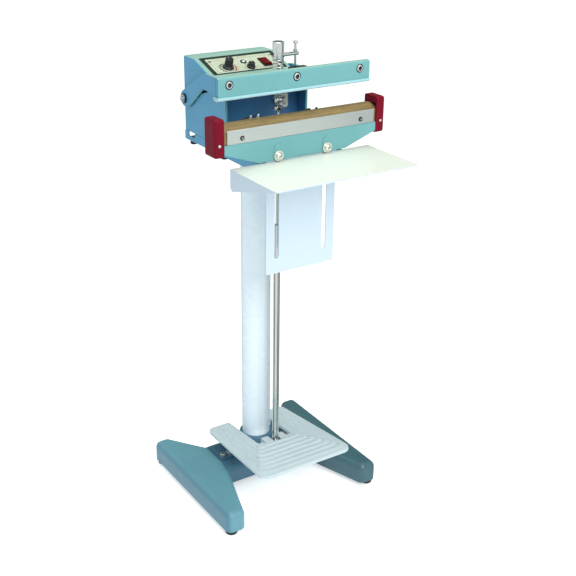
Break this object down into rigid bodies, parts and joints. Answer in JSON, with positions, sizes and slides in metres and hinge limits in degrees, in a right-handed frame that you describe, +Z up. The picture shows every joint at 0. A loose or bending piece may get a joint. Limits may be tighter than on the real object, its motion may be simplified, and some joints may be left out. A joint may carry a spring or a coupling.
{
  "type": "impulse heat sealer",
  "caption": "Pedestal impulse heat sealer: a foot pedal pulls a rod that closes a hinged upper jaw on a heated lower jaw, with a timer head and a height-adjustable work table.",
  "frame": {"origin": "on the floor, under the middle of the whole envelope; the pole stands 86.65 mm behind it", "axes": "+X along the jaws to the operator's right, +Y to the rear away from the operator, +Z up"},
  "size_m": [0.36, 0.4332, 0.925],
  "materials": {
    "aluminium": "extruded, lightly brushed",
    "black_oxide": "blackened steel",
    "black_plastic": "fine grained moulded plastic",
    "board": "circuit board",
    "bright_steel": "bright plated steel",
    "cap_red": "glossy crimson moulding",
    "ceramic": "glazed white ceramic",
    "copper": "varnished copper windings",
    "cream_paint": "smooth semi-gloss paint",
    "dark_paint": "navy satin paint",
    "iron": "stacked laminations",
    "light_blue_paint": "pale blue paint",
    "painted_blue": "satin stoved enamel with a fine orange peel",
    "panel_dark": "dark green satin plastic",
    "panel_white": "printed plastic face",
    "pedal_cast": "light grey paint on a cast tread",
    "plain_steel": "zinc plated steel",
    "pole_paint": "pale powder coat",
    "ptfe_cloth": "coated glass cloth, brown, slightly glossy",
    "rubber": "moulded rubber",
    "silicone": "soft silicone rubber",
    "switch_red": "glossy translucent red moulding"
  },
  "bodies": {
    "stand_and_head": {"leg_left": "painted_blue", "leg_right": "painted_blue", "crossbar": "painted_blue", "foot_pads": "rubber", "pole_socket": "painted_blue", "pole": "pole_paint", "base_bolts": "plain_steel", "hinge_brackets": "painted_blue", "pedal_hinge_pins": "plain_steel", "pole_flange": "painted_blue", "base_frame": "painted_blue", "flange_bolts": "plain_steel", "housing": "painted_blue", "housing_bolts": "rubber", "inner_panel": "dark_paint", "panel_frame": "panel_dark", "panel_face": "panel_white", "panel_screws": "bright_steel", "indicator_lamp": "black_plastic", "rocker_bezel": "black_plastic", "transformer_core": "iron", "transformer_coil": "copper", "timer_board": "board", "terminal_block": "ceramic", "mains_inlet": "black_plastic", "arm_shaft": "plain_steel", "shaft_bolts": "black_oxide", "jaw_bracket": "painted_blue", "lower_jaw_bar": "aluminium", "ptfe_cover": "ptfe_cloth", "heating_element": "plain_steel", "clamp_strip": "aluminium", "strip_screws": "black_oxide", "end_cap_left": "cap_red", "end_cap_right": "cap_red", "cap_screws": "bright_steel", "element_terminals": "ceramic", "jaw_bolts": "bright_steel", "return_springs": "plain_steel"},
    "pedal": {"pedal_plate": "pedal_cast", "rod_pin": "plain_steel"},
    "pull_rod": {"pull_rod": "bright_steel", "rod_nuts": "bright_steel", "actuator_bar": "bright_steel", "actuator_screw": "plain_steel", "rod_sleeve": "bright_steel", "pressure_spring": "bright_steel", "lower_spring": "bright_steel"},
    "upper_arm": {"arm_yoke": "painted_blue", "upper_jaw": "painted_blue", "press_bar": "painted_blue", "jaw_screws": "bright_steel", "pad_holder": "light_blue_paint", "silicone_strip": "silicone", "micro_switch": "black_plastic"},
    "switch_plunger": {"switch_plunger": "switch_red"},
    "work_table": {"work_table": "cream_paint"},
    "timer_knob": {"timer_knob": "black_plastic"},
    "heat_knob": {"heat_knob": "black_plastic"},
    "power_rocker": {"power_rocker": "switch_red"}
  },
  "joints": [
    {"name": "pedal_hinge", "type": "hinge", "parent": "stand_and_head", "child": "pedal", "pos_m": [0, 0.12265, 0.084], "axis": [1, 0, 0], "range_deg": [0, 16]},
    {"name": "rod_pivot", "type": "hinge", "parent": "pedal", "child": "pull_rod", "pos_m": [0, 0.00966, 0.10399], "axis": [1, 0, 0], "range_deg": [-15.4, 0], "deforming": ["pressure_spring", "lower_spring"]},
    {"name": "arm_hinge", "type": "hinge", "parent": "stand_and_head", "child": "upper_arm", "pos_m": [0, 0.18965, 0.798], "axis": [1, 0, 0], "range_deg": [0, 8.7], "deforming": ["return_springs"]},
    {"name": "switch_press", "type": "slide", "parent": "upper_arm", "child": "switch_plunger", "axis": [0, 0, 1], "range_m": [-0.0021, 0]},
    {"name": "table_slide", "type": "slide", "parent": "stand_and_head", "child": "work_table", "axis": [0, 0, 1], "range_m": [-0.022, 0]},
    {"name": "timer_knob_turn", "type": "hinge", "parent": "stand_and_head", "child": "timer_knob", "pos_m": [-0.0395, 0.11964, 0.86162], "axis": [0, -0.3157, 0.9489], "range_deg": [-140, 140]},
    {"name": "heat_knob_turn", "type": "hinge", "parent": "stand_and_head", "child": "heat_knob", "pos_m": [0.0055, 0.11243, 0.85923], "axis": [0, -0.3157, 0.9489], "range_deg": [-140, 140]},
    {"name": "power_rocker_tilt", "type": "hinge", "parent": "stand_and_head", "child": "power_rocker", "pos_m": [0.043, 0.12258, 0.86513], "axis": [1, 0, 0], "range_deg": [0, 11]}
  ],
  "couplings": [
    {"joint": "rod_pivot", "follows": "pedal_hinge", "ratio": -0.96131},
    {"joint": "arm_hinge", "follows": "pedal_hinge", "ratio": 0.54312},
    {"joint": "switch_press", "follows": "pedal_hinge", "m_per_rad": -0.007162}
  ]
}
